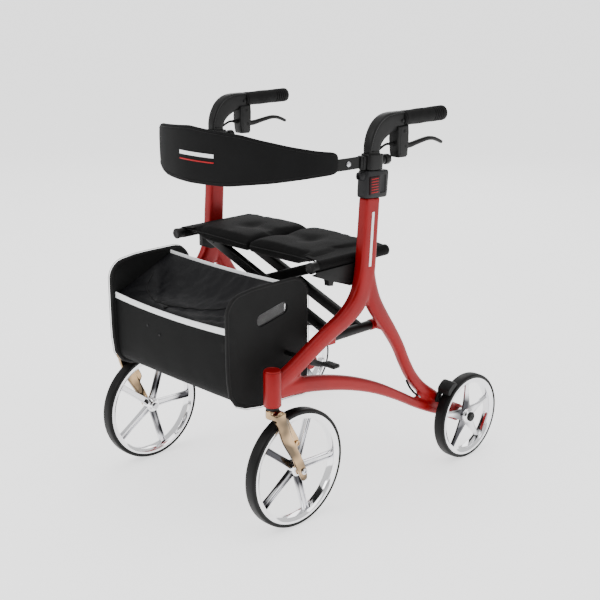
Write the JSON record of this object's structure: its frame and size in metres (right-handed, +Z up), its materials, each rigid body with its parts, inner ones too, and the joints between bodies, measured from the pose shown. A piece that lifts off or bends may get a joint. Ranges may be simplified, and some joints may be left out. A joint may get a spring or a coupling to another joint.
{
  "type": "rollator walker",
  "caption": "Four-wheeled folding rollator walker with padded seat, front bag, bowed backrest strap, height-adjustable handles and lever brakes.",
  "frame": {"origin": "middle of the bounding box footprint, on the floor", "axes": "+Z up; the user stands at +Y and walks towards -Y, where the bag and casters are; +X is the user's left"},
  "size_m": [0.589, 0.741, 0.8171],
  "materials": {
    "frame_red": "satin metallic red lacquer",
    "black_plastic": "moulded black",
    "cable_black": "black sheath",
    "steel": "zinc plated",
    "collar_grey": "fine moulded grain",
    "bag_panel": "stiffened nylon with bound edge",
    "chrome": "bright chrome",
    "tyre_black": "soft solid tyre",
    "button_grey": "moulded with red lines",
    "handle_black": "glass-filled black nylon",
    "grip_rubber": "ribbed soft rubber",
    "black_metal": "black powder coat",
    "seat_fabric": "padded black nylon",
    "bag_fabric": "black nylon",
    "backrest_fabric": "foam-backed black fabric"
  },
  "bodies": {
    "left_frame": {"left_side_frame": "frame_red", "left_head_cap": "frame_red", "left_rear_axle": "black_plastic", "left_kerb_pedal": "black_plastic", "left_brake_cable_lower": "cable_black", "left_cable_adjuster": "steel", "left_height_collar": "collar_grey", "left_rail_saddle": "black_plastic", "left_bag_side": "bag_panel", "bag_body": "bag_fabric"},
    "left_caster": {"left_caster_fork": "chrome", "left_caster_stem": "steel", "left_front_axle": "steel"},
    "left_front_wheel_body": {"left_front_wheel": "chrome", "left_front_tyre": "tyre_black"},
    "left_rear_wheel_body": {"left_rear_wheel": "chrome", "left_rear_tyre": "tyre_black"},
    "left_brake_shoe_body": {"left_brake_shoe": "black_plastic"},
    "left_height_button_body": {"left_height_button": "button_grey"},
    "left_handle": {"left_handle_post": "handle_black", "left_handle_grip": "grip_rubber", "left_brake_housing": "handle_black", "left_brake_cable_upper": "cable_black", "left_backrest_bracket": "black_metal", "backrest_band": "backrest_fabric"},
    "left_brake_lever_body": {"left_brake_lever": "black_metal"},
    "left_backrest_knob_body": {"left_backrest_knob": "black_plastic"},
    "right_frame": {"right_side_frame": "frame_red", "right_head_cap": "frame_red", "right_rear_axle": "black_plastic", "right_kerb_pedal": "black_plastic", "right_brake_cable_lower": "cable_black", "right_cable_adjuster": "steel", "right_height_collar": "collar_grey", "right_rail_saddle": "black_plastic", "right_bag_side": "bag_panel"},
    "right_caster": {"right_caster_fork": "chrome", "right_caster_stem": "steel", "right_front_axle": "steel"},
    "right_front_wheel_body": {"right_front_wheel": "chrome", "right_front_tyre": "tyre_black"},
    "right_rear_wheel_body": {"right_rear_wheel": "chrome", "right_rear_tyre": "tyre_black"},
    "right_brake_shoe_body": {"right_brake_shoe": "black_plastic"},
    "right_height_button_body": {"right_height_button": "button_grey"},
    "right_handle": {"right_handle_post": "handle_black", "right_handle_grip": "grip_rubber", "right_brake_housing": "handle_black", "right_brake_cable_upper": "cable_black", "right_backrest_bracket": "black_metal"},
    "right_brake_lever_body": {"right_brake_lever": "black_metal"},
    "right_backrest_knob_body": {"right_backrest_knob": "black_plastic"},
    "bag_lid_body": {"bag_lid": "bag_fabric"},
    "arm_left": {"brace_arm_left": "black_metal", "right_seat_rail": "black_metal", "brace_pivot": "black_metal"},
    "arm_right": {"brace_arm_right": "black_metal", "left_seat_rail": "black_metal"},
    "left_seat": {"left_seat_pad": "seat_fabric"},
    "right_seat": {"right_seat_pad": "seat_fabric"}
  },
  "joints": [
    {"name": "fold", "type": "hinge", "parent": "left_frame", "child": "arm_left", "pos_m": [0.212, -0.06, 0.365], "axis": [0, 1, 0], "range_deg": [0, 54.3], "deforming": ["bag_body", "bag_lid", "backrest_band", "left_seat_pad", "right_seat_pad"]},
    {"name": "brace_scissor", "type": "hinge", "parent": "arm_left", "child": "arm_right", "pos_m": [0, -0.06, 0.4435], "axis": [0, 1, 0], "range_deg": [-108.6, 0]},
    {"name": "right_frame_pivot", "type": "hinge", "parent": "arm_right", "child": "right_frame", "pos_m": [-0.212, -0.06, 0.365], "axis": [0, 1, 0], "range_deg": [0, 54.3]},
    {"name": "left_seat_hinge", "type": "hinge", "parent": "arm_right", "child": "left_seat", "pos_m": [0.212, -0.06, 0.522], "axis": [0, 1, 0], "range_deg": [0, 124.5]},
    {"name": "right_seat_hinge", "type": "hinge", "parent": "arm_left", "child": "right_seat", "pos_m": [-0.212, -0.06, 0.522], "axis": [0, 1, 0], "range_deg": [-124.5, 0]},
    {"name": "left_swivel", "type": "hinge", "parent": "left_frame", "child": "left_caster", "pos_m": [0.239, -0.3055, 0.275], "axis": [0, 0, 1], "continuous": true},
    {"name": "left_front_roll", "type": "hinge", "parent": "left_caster", "child": "left_front_wheel_body", "pos_m": [0.239, -0.2455, 0.125], "axis": [1, 0, 0], "continuous": true},
    {"name": "left_rear_roll", "type": "hinge", "parent": "left_frame", "child": "left_rear_wheel_body", "pos_m": [0.274, 0.2705, 0.1], "axis": [1, 0, 0], "continuous": true},
    {"name": "left_brake_lever", "type": "hinge", "parent": "left_handle", "child": "left_brake_lever_body", "pos_m": [0.24, 0.056, 0.744], "axis": [1, 0, 0], "range_deg": [0, 12], "stiffness_Nm_per_rad": 1, "springref_deg": -5.73},
    {"name": "left_brake_shoe", "type": "hinge", "parent": "left_frame", "child": "left_brake_shoe_body", "pos_m": [0.2563, 0.19, 0.157], "axis": [1, 0, 0], "range_deg": [-4, 0]},
    {"name": "left_height", "type": "slide", "parent": "left_frame", "child": "left_handle", "axis": [0, 0.0678, 0.9977], "range_m": [0, 0.1]},
    {"name": "left_height_button", "type": "slide", "parent": "left_frame", "child": "left_height_button_body", "axis": [-1, 0, 0], "range_m": [0, 0.0018], "stiffness_N_per_m": 300, "springref_m": -0.0015},
    {"name": "left_knob", "type": "hinge", "parent": "left_handle", "child": "left_backrest_knob_body", "pos_m": [0.24, 0.004, 0.722], "axis": [0, 1, 0], "continuous": true},
    {"name": "right_swivel", "type": "hinge", "parent": "right_frame", "child": "right_caster", "pos_m": [-0.239, -0.3055, 0.275], "axis": [0, 0, 1], "continuous": true},
    {"name": "right_front_roll", "type": "hinge", "parent": "right_caster", "child": "right_front_wheel_body", "pos_m": [-0.239, -0.2455, 0.125], "axis": [1, 0, 0], "continuous": true},
    {"name": "right_rear_roll", "type": "hinge", "parent": "right_frame", "child": "right_rear_wheel_body", "pos_m": [-0.274, 0.2705, 0.1], "axis": [1, 0, 0], "continuous": true},
    {"name": "right_brake_lever", "type": "hinge", "parent": "right_handle", "child": "right_brake_lever_body", "pos_m": [-0.24, 0.056, 0.744], "axis": [1, 0, 0], "range_deg": [0, 12], "stiffness_Nm_per_rad": 1, "springref_deg": -5.73},
    {"name": "right_brake_shoe", "type": "hinge", "parent": "right_frame", "child": "right_brake_shoe_body", "pos_m": [-0.2563, 0.19, 0.157], "axis": [1, 0, 0], "range_deg": [-4, 0]},
    {"name": "right_height", "type": "slide", "parent": "right_frame", "child": "right_handle", "axis": [0, 0.0678, 0.9977], "range_m": [0, 0.1]},
    {"name": "right_height_button", "type": "slide", "parent": "right_frame", "child": "right_height_button_body", "axis": [1, 0, 0], "range_m": [0, 0.0018], "stiffness_N_per_m": 300, "springref_m": -0.0015},
    {"name": "right_knob", "type": "hinge", "parent": "right_handle", "child": "right_backrest_knob_body", "pos_m": [-0.24, 0.004, 0.722], "axis": [0, 1, 0], "continuous": true},
    {"name": "bag_lid_hinge", "type": "hinge", "parent": "left_frame", "child": "bag_lid_body", "pos_m": [0, -0.2215, 0.4895], "axis": [-1, 0, 0], "range_deg": [0, 95]}
  ],
  "couplings": [
    {"joint": "brace_scissor", "follows": "fold", "ratio": -2},
    {"joint": "right_frame_pivot", "follows": "fold", "ratio": 1},
    {"joint": "left_seat_hinge", "follows": "fold", "ratio": 2.2836},
    {"joint": "right_seat_hinge", "follows": "fold", "ratio": -2.2836},
    {"joint": "left_brake_shoe", "follows": "left_brake_lever", "ratio": -0.3333},
    {"joint": "right_brake_shoe", "follows": "right_brake_lever", "ratio": -0.3333},
    {"joint": "right_height", "follows": "left_height", "ratio": 1}
  ]
}
